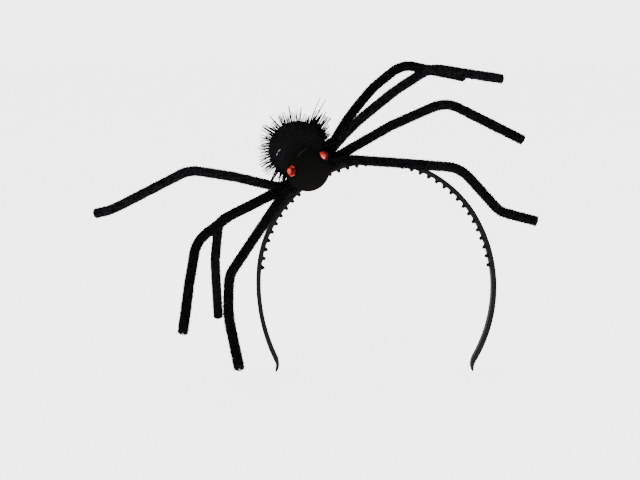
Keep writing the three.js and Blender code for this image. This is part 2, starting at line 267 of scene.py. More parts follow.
@dataclass(frozen=True)
class GlossyPlastic:
    """Moulded black plastic under a faint gloss, with faint moulding waves and a browner thin end."""

    colour: Colour = (0.0030, 0.0030, 0.0032)
    rubbed: Colour = (0.0105, 0.0100, 0.0095)
    tip: Colour = (0.016, 0.011, 0.008)
    browning: tuple[float, float] = (-0.085, -0.125)
    wear_per_metre: float = 900.0
    patches_per_metre: float = 45.0
    waves_per_metre: float = 160.0
    scratches_per_metre: float = 5200.0
    scratch_share: float = 0.08
    wave_depth: float = 0.02
    roughness: float = 0.45
    roughness_spread: float = 0.12
    gloss: float = 0.055
    gloss_roughness: float = 0.12

    def material(self) -> bpy.types.Material:
        """The band's plastic, rubbed in patches and a little browner towards its thin tips.

        Returns:
            The material.
        """
        graph = Graph.named("glossy_black_plastic")
        height = graph.place().part("Z")
        heights = {"Value": height, "From Min": self.browning[0], "From Max": self.browning[1]}
        toward_tip = graph.node("ShaderNodeMapRange", {}, {**heights, "To Min": 0.0, "To Max": 1.0})
        wear = graph.noise(self.wear_per_metre, 4.0, 0.65)
        patches = graph.noise(self.patches_per_metre, 1.0)
        body = graph.blend(wear * patches, self.colour, self.rubbed)
        colour = graph.blend(toward_tip * wear, body, self.tip)
        waves = graph.noise(self.waves_per_metre, 2.0)
        scratches = graph.noise(self.scratches_per_metre, 2.0)
        return graph.surface(
            {
                "Base Color": colour,
                "Roughness": wear * self.roughness_spread + self.roughness,
                "Normal": graph.bump(waves + scratches * self.scratch_share, self.wave_depth),
                "Specular IOR Level": 0.0,
                "Coat Weight": self.gloss,
                "Coat Roughness": self.gloss_roughness,
            }
        )


@dataclass(frozen=True)
class Fibre:
    """Black fibre: the same on pile, yarn and bristles apart from its depth and gloss."""

    name: str
    deep: Colour
    light: Colour
    roughness: float
    specular: float
    contrast: float = 1.0
    patches_per_metre: float = 700.0
    roughness_spread: float = 0.2

    def material(self) -> bpy.types.Material:
        """Fibre with each strand a little lighter or darker than the next, in patches.

        Returns:
            The material.
        """
        graph = Graph.named(self.name)
        strand = graph.node("ShaderNodeNewGeometry", {}, {}, output="Random Per Island")
        patches = graph.noise(self.patches_per_metre, 2.0)
        uneven = (patches - 0.5) * self.contrast + 0.5
        colour = graph.blend(strand * uneven, self.deep, self.light)
        return graph.surface(
            {
                "Base Color": colour,
                "Roughness": patches * self.roughness_spread + self.roughness,
                "Specular IOR Level": self.specular,
            }
        )


@dataclass(frozen=True)
class WoundYarn:
    """Black yarn with plies that run round each strand."""

    deep: Colour = (0.0030, 0.0030, 0.0032)
    light: Colour = (0.0092, 0.0092, 0.0098)
    plies_per_metre: float = 3000.0
    ply_depth: float = 0.25
    roughness: float = 0.78

    def material(self) -> bpy.types.Material:
        """Matt yarn, its plies cut in by a bump.

        Returns:
            The material.
        """
        graph = Graph.named("wound_black_yarn")
        plies = graph.noise(self.plies_per_metre, 4.0, 0.7)
        colour = graph.blend(plies, self.deep, self.light)
        return graph.surface(
            {
                "Base Color": colour,
                "Roughness": self.roughness,
                "Normal": graph.bump(plies, self.ply_depth),
                "Specular IOR Level": 0.0,
            }
        )


@dataclass(frozen=True)
class FlockedFoam:
    """Smooth black ball with a fine flocked skin, slightly olive where its coat is thin."""

    colour: Colour = (0.0026, 0.0026, 0.0027)
    thin: Colour = (0.0036, 0.0036, 0.0027)
    patches_per_metre: float = 220.0
    grain_per_metre: float = 6500.0
    grain_depth: float = 0.10
    roughness: float = 0.62
    roughness_spread: float = 0.2

    def material(self) -> bpy.types.Material:
        """Fine grain over faint wide patches.

        Returns:
            The material.
        """
        graph = Graph.named("black_flock")
        patches = graph.noise(self.patches_per_metre, 3.0)
        grain = graph.noise(self.grain_per_metre, 3.0, 0.6)
        colour = graph.blend(patches, self.colour, self.thin)
        return graph.surface(
            {
                "Base Color": colour,
                "Roughness": grain * self.roughness_spread + self.roughness,
                "Normal": graph.bump(grain, self.grain_depth),
                "Specular IOR Level": 0.0,
            }
        )


@dataclass(frozen=True)
class RedStone:
    """Clear red acrylic over a foil back, its facets coloured with painted light: from nearly black red
    painted shade to a pink painted highlight.
    """

    # Ramp from painted shade through the stone's own deep red to two painted highlights
    dark: Colour = (0.008, 0.0006, 0.0005)
    deep: Colour = (0.09, 0.0045, 0.0045)
    bright: Colour = (0.52, 0.045, 0.032)
    painted_glint: Colour = (0.90, 0.26, 0.20)
    roughness: float = 0.25
    coat: float = 0.02
    coat_roughness: float = 0.02

    def material(self) -> bpy.types.Material:
        """Red with painted shade and painted highlights that differ from facet to facet, under a clear
        polished coat.

        Returns:
            The material.
        """
        graph = Graph.named("red_stone")
        facet = graph.node("ShaderNodeAttribute", {"attribute_name": "facet"}, {}, output="Fac")
        stops = [(0.0, self.dark), (0.4, self.deep), (0.75, self.bright), (1.0, self.painted_glint)]
        return graph.surface(
            {
                "Base Color": graph.ramp(facet, stops),
                "Roughness": self.roughness,
                "Specular IOR Level": 0.0,
                "Coat Weight": self.coat,
                "Coat Roughness": self.coat_roughness,
            }
        )


@dataclass(frozen=True)
class WireEnd:
    """Bare steel wire where a stem was cut."""

    dull: Colour = (0.25, 0.25, 0.26)
    bright: Colour = (0.42, 0.42, 0.43)
    lines_per_metre: float = 2500.0
    roughness: float = 0.3
    roughness_spread: float = 0.2

    def material(self) -> bpy.types.Material:
        """Dull bright wire with drawn lines.

        Returns:
            The material.
        """
        graph = Graph.named("steel_wire")
        lines = graph.noise(self.lines_per_metre, 2.0)
        return graph.surface(
            {
                "Base Color": graph.blend(lines, self.dull, self.bright),
                "Metallic": 1.0,
                "Roughness": lines * self.roughness_spread + self.roughness,
            }
        )


@dataclass(frozen=True)
class PaleFloor:
    """Plain white studio floor."""

    colour: Colour = (0.9, 0.9, 0.9)
    shade: Colour = (0.88, 0.88, 0.88)
    glow: float = 2.75
    patches_per_metre: float = 3.0
    roughness: float = 0.9
    specular: float = 0.1

    def material(self) -> bpy.types.Material:
        """Matt white, lit through from below as a light table is.

        Returns:
            The material.
        """
        graph = Graph.named("white_floor")
        tone = graph.noise(self.patches_per_metre, 2.0)
        return graph.surface(
            {
                "Base Color": graph.blend(tone, self.colour, self.shade),
                "Roughness": self.roughness,
                "Specular IOR Level": self.specular,
                "Emission Color": (1.0, 1.0, 1.0, 1.0),
                "Emission Strength": self.glow,
            }
        )


PILE = Fibre("black_chenille_pile", (0.0012, 0.0012, 0.0013), (0.0200, 0.0200, 0.0210), 0.7, 0.0, 4.0)
BRISTLE = Fibre("black_bristle", (0.0020, 0.0020, 0.0022), (0.010, 0.010, 0.011), 0.5, 0.0)
# A stray strand whose pale colour is a painted highlight
PAINTED_HIGHLIGHT_STRAND = Fibre("painted_highlight_strand", (0.30, 0.30, 0.31), (0.45, 0.45, 0.46), 0.5, 0.0)
# Finish of a thin grey line over the head, lighter than its flock
GREY_LINE_FINISH = Fibre("grey_line_finish", (0.010, 0.010, 0.0105), (0.017, 0.017, 0.018), 0.5, 0.0)


class Shape:
    """Points and faces of one piece, gathered before its mesh is made."""

    def __init__(self) -> None:
        """Starts with nothing."""
        self.points: list[Array] = []
        self.faces: list[Array] = []
        self.count = 0

    def add(self, points: Array, faces: Array) -> None:
        """Adds a block of points and faces.

        Args:
            points: Points in millimetres.
            faces: Faces of three or four corners, by number.
        """
        self.points.append(np.asarray(points, float).reshape(-1, 3))
        self.faces.append(np.asarray(faces, int) + self.count)
        self.count += len(self.points[-1])

    def skin(self, rings: Array) -> None:
        """Adds a tube over rings, each end closed by a fan to its middle.

        Args:
            rings: Points as rings by sides by three.
        """
        count, sides = rings.shape[:2]
        index = np.arange(count * sides).reshape(count, sides)
        turned = np.roll(index, -1, axis=1)
        quads = np.stack([index[:-1], turned[:-1], turned[1:], index[1:]], axis=-1).reshape(-1, 4)
        middles = np.stack([rings[0].mean(0), rings[-1].mean(0)])
        points = np.concatenate([rings.reshape(-1, 3), middles])
        first, last = count * sides, count * sides + 1
        start = np.stack([np.full(sides, first), turned[0], index[0]], axis=-1)
        end = np.stack([np.full(sides, last), index[-1], turned[-1]], axis=-1)
        self.add(points, quads)
        self.faces.append(np.concatenate([start, end]) + self.count - len(points))

    def spikes(self, roots: Array, tips: Array, width: Array, blunt: Array) -> None:
        """Adds closed three-sided fibres.

        Args:
            roots: Where the fibres start.
            tips: Where they end.
            width: Width of each fibre.
            blunt: True where the wide end is the tip, as in cut pile.
        """
        wide = np.where(blunt[:, None], tips, roots)
        narrow = np.where(blunt[:, None], roots, tips)
        way = unit(narrow - wide)
        helper = np.where(np.abs(way[:, 2:3]) < 0.8, (0.0, 0.0, 1.0), (1.0, 0.0, 0.0))
        side = unit(np.cross(way, helper))
        other = np.cross(way, side)
        corners = []
        for turn in (0.0, 2 * math.pi / 3, 4 * math.pi / 3):
            corners.append(wide + (side * math.cos(turn) + other * math.sin(turn)) * width[:, None] / 2)
        points = np.stack([*corners, narrow], axis=1)
        base = np.arange(len(roots))[:, None] * 4
        faces = [base + np.array(f) for f in ((0, 1, 3), (1, 2, 3), (2, 0, 3), (2, 1, 0))]
        self.add(points, np.concatenate(faces))

    def piece(self, name: str, material: bpy.types.Material, smooth_below: float) -> bpy.types.Object:
        """Makes the mesh object.

        Args:
            name: The piece's name.
            material: Its finish.
            smooth_below: Edges under this angle in degrees are shaded smooth.

        Returns:
            The object, linked into the scene.
        """
        mesh = bpy.data.meshes.new(name)
        corners = [tuple(f) for block in self.faces for f in block.tolist()]
        mesh.from_pydata((np.concatenate(self.points) * MM).tolist(), [], corners)
        mesh.polygons.foreach_set("use_smooth", np.ones(len(mesh.polygons), bool))
        mesh.set_sharp_from_angle(angle=math.radians(smooth_below))
        mesh.materials.append(material)
        made = bpy.data.objects.new(name, mesh)
        bpy.context.scene.collection.objects.link(made)
        return made


def settle(made: bpy.types.Object, slot: str, *nodes: str) -> None:
    """Lets a piece ride on the body and hides the nodes it stands for.

    Args:
        made: The piece.
        slot: Its material slot in the record; not used.
        nodes: CAD nodes that it stands for.
    """
    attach(made, BODY)
    if nodes:
        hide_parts(*nodes)
    LOG.info("%s: %d faces", made.name, len(made.data.polygons))


@dataclass
class Route:
    """A centreline of evenly spaced points, with two directions across it that don't twist."""

    points: Array
    step: float
    ways: Array = field(init=False)
    sides: Array = field(init=False)
    rises: Array = field(init=False)

    def __post_init__(self) -> None:
        """Works out the directions along and across."""
        self.ways = unit(np.gradient(self.points, axis=0))
        side = np.cross(self.ways[0], (0.0, 0.0, 1.0) if abs(self.ways[0][2]) < 0.9 else (1.0, 0.0, 0.0))
        sides = []
        for way in self.ways:
            side = unit(side - way * (side @ way))
            sides.append(side)
        self.sides = np.array(sides)
        self.rises = np.cross(self.ways, self.sides)

    @classmethod
    def through(cls, points: Array, step: float) -> "Route":
        """A route along a polyline, with a point about every step.

        Args:
            points: Corners of the polyline.
            step: Wanted spacing.

        Returns:
            The route.
        """
        lengths = np.concatenate([[0.0], np.cumsum(np.linalg.norm(np.diff(points, axis=0), axis=1))])
        count = max(2, int(round(lengths[-1] / step)) + 1)
        runs = np.linspace(0.0, lengths[-1], count)
        spaced = np.stack([np.interp(runs, lengths, points[:, k]) for k in range(3)], axis=1)
        return cls(spaced, lengths[-1] / (count - 1))

    @property
    def length(self) -> float:
        """Length along the line."""
        return self.step * (len(self.points) - 1)

    def around(self, runs: Array, turns: Array, radii: Array) -> Array:
        """Points round the line.

        Args:
            runs: Distances along the line.
            turns: Angles round it in radians.
            radii: Distances from it.

        Returns:
            The points, one for each run.
        """
        place = np.clip(runs / self.step, 0, len(self.points) - 1.001)
        low = place.astype(int)
        share = (place - low)[:, None]
        centre = lerp(self.points[low], self.points[low + 1], share)
        side = lerp(self.sides[low], self.sides[low + 1], share)
        rise = lerp(self.rises[low], self.rises[low + 1], share)
        out = side * np.cos(turns)[:, None] + rise * np.sin(turns)[:, None]
        return centre + out * radii[:, None]

    def tube(self, radii: Array, sides: int) -> Array:
        """Rings of a tube.

        Args:
            radii: Radius at each point, or at each point and side.
            sides: Number of sides.

        Returns:
            Points as rings by sides by three.
        """
        turns = 2 * math.pi * np.arange(sides) / sides
        radii = np.broadcast_to(np.asarray(radii).reshape(len(self.points), -1), (len(self.points), sides))
        out = (
            self.sides[:, None] * np.cos(turns)[None, :, None]
            + self.rises[:, None] * np.sin(turns)[None, :, None]
        )
        return self.points[:, None] + out * radii[..., None]


@dataclass(frozen=True)
class Crown:
    """The band's crown and the spot on it where the spider stands."""

    centre_radius: float = 66.75
    thickness: float = 2.5
    width: float = 9.0
    clearance: float = 0.3
    seat_angle: float = -32.6
    body_tilt: float = -27.0

    @property
    def outward(self) -> Array:
        """Way out of the crown at the seat."""
        angle = math.radians(self.seat_angle)
        return np.array([math.sin(angle), 0.0, math.cos(angle)])

    @property
    def across(self) -> Array:
        """Way to the right along the crown at the seat."""
        return np.array([self.outward[2], 0.0, -self.outward[0]])

    @property
    def seat(self) -> Array:
        """Point on the outer face under the spider.

        Returns:
            The point.
        """
        inner = self.centre_radius - self.thickness / 2
        outer = self.centre_radius + self.thickness / 2
        return np.array([0.0, 0.0, -inner]) + self.outward * outer

    def turned(self, vectors: Array) -> Array:
        """Directions of the spider's own frame as directions of the part's.

        Args:
            vectors: Directions in the spider's frame.

        Returns:
            The same in the part's frame.
        """
        angle = math.radians(self.body_tilt)
        x, y, z = np.moveaxis(np.asarray(vectors, float), -1, 0)
        return np.stack(
            [x * math.cos(angle) + z * math.sin(angle), y, z * math.cos(angle) - x * math.sin(angle)],
            axis=-1,
        )

    def placed(self, points: Array) -> Array:
        """Points of the spider's own frame as points of the part's."""
        return self.seat + self.turned(points)


class Side(Enum):
    """The two sides of the headband, seen from the front."""

    LEFT = -1
    RIGHT = 1


# Radius as a share of the crown's, minus where the arc turns out, and sweep, from the crown's top down
BAND_ARCS = {
    Side.LEFT: [(1.0, 85.6), (1.51, 29.9), (-0.12, 57.0)],
    Side.RIGHT: [(0.968, 59.2), (1.219, 60.4), (-0.141, 49.3)],
}


def band_points(side: Side, line: tuple[Any, Any, Any], across: Any, out: Any) -> Array:
    """Points beside the band's centreline.

    Args:
        side: Which side of the headband.
        line: x, z and slope of the centreline.
        across: Distance from the middle of the band's width.
        out: Distance out of the centreline.

    Returns:
        The points.
    """
    x, z, slope = line
    parts = (side.value * (x + out * np.sin(slope)), across, z + out * np.cos(slope))
    return np.stack(np.broadcast_arrays(*parts), axis=-1)


@dataclass
class HairBand:
    """The toothed hoop."""

    crown: Crown
    tip_width: float = 6.0
    tip_thickness: float = 0.8
    edge_radius: float = 0.55
    crowning: float = 0.12
    taper_start: float = 0.35
    ring_step: float = 0.8
    tip_steps: tuple[float, ...] = (2.2, 1.5, 0.9, 0.45, 0.15, 0.02)
    tip_thinning: float = 0.5
    teeth_each_side: int = 18
    tooth_pitch: float = 5.41
    tooth_length: float = 1.9
    tooth_thickness: float = 2.2
    tooth_width: float = 2.2
    tooth_shift: float = -0.9
    tooth_sides: int = 14
    rib_height: float = 0.5
    rib_step: float = 0.24
    rib_overrun: float = 0.46
    root_sink: float = 0.3

    def line(self, side: Side, runs: Array) -> tuple[Array, Array, Array, float, float]:
        """Places along one side's centreline.

        Args:
            side: Which side.
            runs: Distances from the crown's top.

        Returns:
            x, z and slope at each run, the side's whole length and its flick's length.
        """
        x = np.zeros(len(runs))
        z = np.full(len(runs), self.crown.thickness / 2)
        slope = np.zeros(len(runs))
        left = np.array(runs, float)
        total = length = 0.0
        for share, sweep in BAND_ARCS[side]:
            radius = share * self.crown.centre_radius
            length = abs(radius) * math.radians(sweep)
            total += length
            part = np.minimum(left, length)
            turned = slope + part / radius
            x += radius * (np.sin(turned) - np.sin(slope))
            z += radius * (np.cos(turned) - np.cos(slope))
            slope = turned
            left = left - part
        return x, z, slope, total, length

    def section(self, width: float, thickness: float) -> Array:
        """Rounded outline of the band as (across, out) points.

        Args:
            width: Width across.
            thickness: Thickness outwards.

        Returns:
            The outline's points in order.
        """
        corner = min(self.edge_radius, thickness / 2 * 0.98)
        points = []
        for quarter, (sy, so) in enumerate(((1, 1), (-1, 1), (-1, -1), (1, -1))):
            for k in range(5):
                angle = math.pi / 2 * (quarter + k / 4)
                y = sy * (width / 2 - corner) + corner * math.cos(angle)
                out = so * (thickness / 2 - corner) + corner * math.sin(angle)
                points.append((y, out))
            if quarter in (0, 2):
                for share in (0.5, 0.0, -0.5):
                    crowned = so * thickness / 2 + self.crowning * (1 - share**2) * (quarter == 0)
                    points.append((sy * share * width, crowned))
        return np.array(points)

    def rings(self, side: Side) -> Array:
        """Rings of one side from the crown's top to the rounded tip.

        Args:
            side: Which side.

        Returns:
            Points as rings by sides by three.
        """
        reach = self.line(side, np.zeros(1))[3]
        runs = np.linspace(0.0, reach, int(reach / self.ring_step) + 1)
        close = reach - np.array(self.tip_steps)
        runs = np.concatenate([runs[runs < close[0] - self.ring_step / 4], close])
        x, z, slope, total, flick = self.line(side, runs)
        taper = np.clip((runs / total - self.taper_start) / (1 - self.taper_start), 0, 1)
        thin = np.clip(1 - (total - runs) / flick, 0, 1)
        widths = lerp(self.crown.width, self.tip_width, taper)
        thicknesses = lerp(self.crown.thickness, self.tip_thickness, thin)
        nose = self.tip_width / 2
        past = np.clip((runs - (reach - nose)) / nose, 0, 1)
        widths = widths * np.sqrt(np.clip(1 - past**2, 0.004, 1))
        thicknesses = thicknesses * (1 - self.tip_thinning * past**4)
        rings = []
        for k in range(len(runs)):
            across, out = self.section(widths[k], thicknesses[k]).T
            rings.append(band_points(side, (x[k], z[k], slope[k]), across, out))
        return np.array(rings)

    def hoop(self) -> Shape:
        """The smooth band from tip to tip.

        Returns:
            The band's points and faces.
        """
        shape = Shape()
        left, right = self.rings(Side.LEFT), self.rings(Side.RIGHT)
        shape.skin(np.concatenate([left[:0:-1], right])[:, ::-1])
        return shape

    def rib_heights(self, side: Side, runs: Array) -> Array:
        """Height of the scalloped rib, highest at each tooth.

        Args:
            side: Which side.
            runs: Distances from the crown's top.

        Returns:
            A height for each run.
        """
        places = side.value * runs - self.tooth_shift
        nearest = np.abs((places + self.tooth_pitch / 2) % self.tooth_pitch - self.tooth_pitch / 2)
        half = self.tooth_thickness / 2
        share = np.clip((nearest - half) / (self.tooth_pitch / 2 - half), 0, 1)
        return self.rib_height * (1 - share) ** 2

    def rib(self, shape: Shape, side: Side) -> None:
        """Adds one side's rib between the teeth.

        Args:
            shape: Where it goes.
            side: Which side.
        """
        reach = (self.teeth_each_side + self.rib_overrun) * self.tooth_pitch
        runs = np.linspace(0.0, reach, int(reach / self.rib_step))
        line = self.line(side, runs)[:3]
        heights = self.rib_heights(side, runs)
        sunk = np.full(len(runs), -self.root_sink)
        half = self.tooth_width / 2
        outline = [(half, sunk), (half, heights * 0.35), (half * 0.75, heights * 0.9), (0.0, heights)]
        outline += [(-y, down) for y, down in outline[-2::-1]]
        rings = [band_points(side, line, y, -self.crown.thickness / 2 - down) for y, down in outline]
        strip = np.stack(rings, axis=1)
        shape.skin(strip if side is Side.LEFT else strip[:, ::-1])

    def tooth(self, shape: Shape, index: int) -> None:
        """Adds one peg with a rounded end.

        Args:
            shape: Where it goes.
            index: The tooth's number from the top, left minus.
        """
        side = Side.LEFT if index < 0 else Side.RIGHT
        place = side.value * (index * self.tooth_pitch + self.tooth_shift)
        x, z, slope, _, _ = self.line(side, np.array([place]))
        angle = side.value * slope[0]
        inward = -np.array([math.sin(angle), 0.0, math.cos(angle)])
        along = np.array([math.cos(angle), 0.0, -math.sin(angle)])
        root = np.array([side.value * x[0], 0.0, z[0]]) + inward * self.crown.thickness / 2
        half = self.tooth_thickness / 2
        shaft = self.tooth_length - half
        # Depth below the band's face and share of the width, ring by ring
        levels = [(-self.root_sink, 1.2), (0.3, 1.06), (0.7, 1.0), (shaft, 1.0)]
        levels += [(shaft + half * math.sin(a), math.cos(a)) for a in (0.35, 0.7, 1.05, 1.35, 1.52)]
        turns = 2 * math.pi * np.arange(self.tooth_sides) / self.tooth_sides
        outline = along * (np.cos(turns) * half)[:, None]
        outline[:, 1] = np.sin(turns) * self.tooth_width / 2
        rings = [root + inward * depth + outline * share for depth, share in levels]
        shape.skin(np.array(rings)[:, ::-1])

    def build(self) -> None:
        """Makes the hoop and its comb of teeth."""
        plastic = GlossyPlastic().material()
        settle(self.hoop().piece("hair_band_hoop", plastic, 50.0), "band_plastic", "hair_band")
        comb = Shape()
        for side in Side:
            self.rib(comb, side)
        for index in range(-self.teeth_each_side, self.teeth_each_side + 1):
            self.tooth(comb, index)
        settle(comb.piece("hair_band_teeth", plastic, 50.0), "band_plastic")


@dataclass(frozen=True)
class Leg:
    """One leg: its root as a share of the crossing, and its straights.

    Each straight has its share of the leg's length, its direction seen from the front, its lean to
    the front, and the bend before it as a share of the knee bend.
    """

    root: float
    straights: tuple[tuple[float, float, float, float], ...]


@dataclass
class ChenilleStem:
    """One stem that crosses the crown and makes two legs."""

    crown: Crown
    name: str
    index: int
    left: Leg
    right: Leg
    diameter: float = 5.2
    front_overhang: float = 1.1
    crossing: float = 30.0
    leg_length: float = 125.0
    knee_bend: float = 18.0
    max_bend_share: float = 0.48
    bend_points: int = 13
    line_step: float = 0.5
    body_radius: float = 2.64
    halo: float = 0.4
    body_sides: int = 18
    body_lobe: float = 0.07
    unevenness: float = 0.035
    fibres_per_mm: float = 105.0
    fibre_widths: tuple[float, float] = (0.16, 0.3)
    fibre_root: float = 0.72
    fibre_spread: float = 0.75
    fibre_lobe: float = 0.05
    fibre_lean: float = 0.16
    fibre_skew: float = 0.09
    blunt_share: float = 0.6
    twist_pitch: float = 3.4
    end_length: float = 0.3
    end_radius: float = 0.8
    overshoot: float = 0.2
    tuft_fibres: int = 420
    tuft_reach: float = 0.97
    tuft_root: float = 0.8
    tuft_depth: float = 0.6
    tuft_dome: float = 0.35
    tuft_edge: float = -0.1
    tuft_unevenness: float = 0.08
    wire_diameter: float = 0.5
    wire_offset: float = 0.24
    wire_pitch: float = 2.4
    wire_points: int = 12
    wire_step: float = 0.2
    wire_sides: int = 8
    bare_wire: tuple[float, float] = (0.15, 0.75)

    def corners(self, leg: Leg, side: Side) -> tuple[list[Array], list[float]]:
        """Corners of one leg from its root outwards, and the bend radius at each.

        Args:
            leg: The leg's row.
            side: Its side.

        Returns:
            The corners, and a bend radius for each.
        """
        corners = [self.crown.across * side.value * leg.root * self.crossing]
        for share, front, lean, _ in leg.straights:
            corners.append(corners[-1] + front_way(front, lean) * share * self.leg_length)
        return corners, [row[3] * self.knee_bend for row in leg.straights] + [0.0]

    def route(self) -> Route:
        """The stem's centreline, its straights joined by bends.

        Returns:
            The route from the left end to the right end.
        """
        left, left_bends = self.corners(self.left, Side.LEFT)
        right, right_bends = self.corners(self.right, Side.RIGHT)
        corners = np.array(left[::-1] + right)
        bends = left_bends[::-1] + right_bends
        points = [corners[0]]
        shares = np.linspace(0.0, 1.0, self.bend_points)[:, None]
        for k in range(1, len(corners) - 1):
            before, after = corners[k] - corners[k - 1], corners[k + 1] - corners[k]
            room = self.max_bend_share * min(np.linalg.norm(before), np.linalg.norm(after))
            turn = math.acos(np.clip(unit(before) @ unit(after), -1.0, 1.0))
            cut = min(bends[k] * math.tan(turn / 2), room)
            start, end = corners[k] - unit(before) * cut, corners[k] + unit(after) * cut
            points.extend(lerp(lerp(start, corners[k], shares), lerp(corners[k], end, shares), shares))
        points.append(corners[-1])
        place = self.crown.seat + self.crown.outward * (self.diameter / 2 + self.crown.clearance)
        pitch = self.diameter + self.crown.clearance
        place[1] = self.index * pitch - self.crown.width / 2 - self.front_overhang
        return Route.through(np.array(points) + place, self.line_step)

    def pile(self, route: Route) -> Shape:
        """The dense pile: an uneven body with cut fibres standing out of it in two twisted rows.

        Args:
            route: The stem's centreline.

        Returns:
            The pile's points and faces.
        """
        rng = np.random.default_rng(PILE_SEED + self.index)
        shape = Shape()
        runs = np.arange(len(route.points)) * route.step
        turns = 2 * math.pi * np.arange(self.body_sides) / self.body_sides
        twist = 2 * math.pi * runs[:, None] / self.twist_pitch
        uneven = self.body_lobe * np.cos(2 * (turns[None, :] - twist))
        uneven = uneven + rng.normal(0, self.unevenness, (len(runs), self.body_sides))
        at_end = (runs < self.end_length) | (runs > runs[-1] - self.end_length)
        radii = (self.body_radius + uneven) * np.where(at_end, self.end_radius, 1.0)[:, None]
        shape.skin(route.tube(radii, self.body_sides))
        count = int(route.length * self.fibres_per_mm)
        at = rng.uniform(0.0, route.length, count)
        row = rng.integers(0, 2, count) * math.pi
        twist = 2 * math.pi * at / self.twist_pitch
        angle = twist + row + rng.normal(0.0, self.fibre_spread, count)
        cut = self.diameter / 2 * (1.0 + rng.normal(0.0, self.unevenness, count)) + self.halo
        cut = cut + self.fibre_lobe * np.cos(2 * (angle - twist))
        ends = at + rng.normal(0.0, self.fibre_lean, count)
        ends = np.clip(ends, -self.overshoot, route.length + self.overshoot)
        roots = route.around(at, angle, np.full(count, self.body_radius * self.fibre_root))
        tips = route.around(ends, angle + rng.normal(0.0, self.fibre_skew, count), cut)
        self.fibres(shape, roots, tips, rng)
        self.end_tufts(shape, route, rng)
        return shape

    def fibres(self, shape: Shape, roots: Array, tips: Array, rng: np.random.Generator) -> None:
        """Adds cut fibres, some widest at the root and some at the tip.

        Args:
            shape: Where they go.
            roots: Where they start.
            tips: Where they end.
            rng: Source of their unevenness.
        """
        widths = rng.uniform(*self.fibre_widths, len(roots))
        shape.spikes(roots, tips, widths, rng.random(len(roots)) < self.blunt_share)

    def end_tufts(self, shape: Shape, route: Route, rng: np.random.Generator) -> None:
        """Adds the pile that splays over each cut end.

        Args:
            shape: Where they go.
            route: The stem's centreline.
            rng: Source of their unevenness.
        """
        count = self.tuft_fibres
        for end, way in ((0, -route.ways[0]), (-1, route.ways[-1])):
            angle = rng.uniform(0, 2 * math.pi, count)
            spread = np.sqrt(rng.random(count)) * self.diameter / 2 * self.tuft_reach
            out = route.sides[end] * np.cos(angle)[:, None] + route.rises[end] * np.sin(angle)[:, None]
            roots = route.points[end] + out * spread[:, None] * self.tuft_root - way * self.tuft_depth
            rise = self.tuft_edge + self.tuft_dome * (1 - (spread / (self.diameter / 2)) ** 2)
            rise = rise + rng.normal(0, self.tuft_unevenness, count)
            tips = route.points[end] + out * spread[:, None] + way * rise[:, None]
            self.fibres(shape, roots, tips, rng)

    def wire_ends(self, route: Route) -> Shape:
        """The two twisted wires where they show at each end.

        Args:
            route: The stem's centreline.

        Returns:
            The wires' points and faces.
        """
        shape = Shape()
        for points in (route.points[: self.wire_points][::-1], route.points[-self.wire_points :]):
            core = Route.through(points, self.line_step / 2)
            beyond = core.points[-1] + core.ways[-1] * np.linspace(*self.bare_wire, 4)[:, None]
            core = Route.through(np.concatenate([core.points, beyond]), self.wire_step)
            runs = np.arange(len(core.points)) * core.step
            for strand in (0.0, math.pi):
                turns = strand + 2 * math.pi * runs / self.wire_pitch
                line = core.around(runs, turns, np.full(len(runs), self.wire_offset))
                wire = Route(line, core.step)
                shape.skin(wire.tube(np.full(len(runs), self.wire_diameter / 2), self.wire_sides))
        return shape

    def build(self, pile: bpy.types.Material, wire: bpy.types.Material) -> None:
        """Makes the stem's pile and its wire ends.

        Args:
            pile: Finish of the pile.
            wire: Finish of the wires.
        """
        route = self.route()
        made = self.pile(route).piece(f"{self.name}_pile", pile, 60.0)
        settle(made, "chenille_pile", self.name)
        settle(self.wire_ends(route).piece(f"{self.name}_wire", wire, 50.0), "chenille_pile")


def leg(root: float, *straights: tuple[float, float, float, float]) -> Leg:
    """One row of the table of legs."""
    return Leg(root, straights)


# Name, left leg and right leg of each stem, from the front one to the rear one
STEMS = (
    (
        "leg_stem_front",
        leg(0.48, (0.525, 233.5, 33.5, 2.2), (0.18, 267.5, 32.5, 1.0), (0.29, 284.0, 45.5, 3.0)),
        leg(
            0.54,
            (0.28, -3.0, 17.5, 2.2),
            (0.29, -4.0, 11.0, 3.0),
            (0.26, -48.0, 5.5, 1.0),
            (0.17, -14.5, 5.5, 0.7),
        ),
    ),
    (
        "leg_stem_second",
        leg(
            0.52,
            (0.295, 203.5, 23.5, 1.6),
            (0.215, 214.5, 33.5, 3.0),
            (0.215, 260.5, 37.0, 1.3),
            (0.245, 263.0, 40.5, 4.0),
        ),
        leg(0.2, (0.375, 30.0, 2.5, 2.0), (0.27, 24.0, 3.5, 4.0), (0.425, -26.0, -15.0, 1.0)),
    ),
    (
        "leg_stem_third",
        leg(
            0.55,
            (0.23, 167.0, -5.0, 0.8),
            (0.21, 171.5, -8.5, 6.0),
            (0.44, 208.0, -19.0, 1.0),
            (0.095, 195.0, -29.5, 3.0),
        ),
        leg(
            0.19,
            (0.23, 51.0, 3.0, 1.5),
            (0.285, 37.5, -16.0, 5.0),
            (0.2, 31.5, -16.0, 4.4),
            (0.375, -8.5, -18.5, 1.2),
        ),
    ),
    (
        "leg_stem_rear",
        leg(
            0.52,
            (0.225, 210.0, -18.5, 0.8),
            (0.18, 209.0, -39.0, 2.5),
            (0.245, 264.0, -31.5, 0.9),
            (0.345, 272.0, -30.5, 5.0),
        ),
        leg(
            0.29,
            (0.245, 59.0, -11.5, 1.2),
            (0.21, 47.5, -29.5, 6.0),
            (0.195, 37.5, -24.0, 2.8),
            (0.42, -11.0, -37.5, 1.3),
        ),
    ),
)


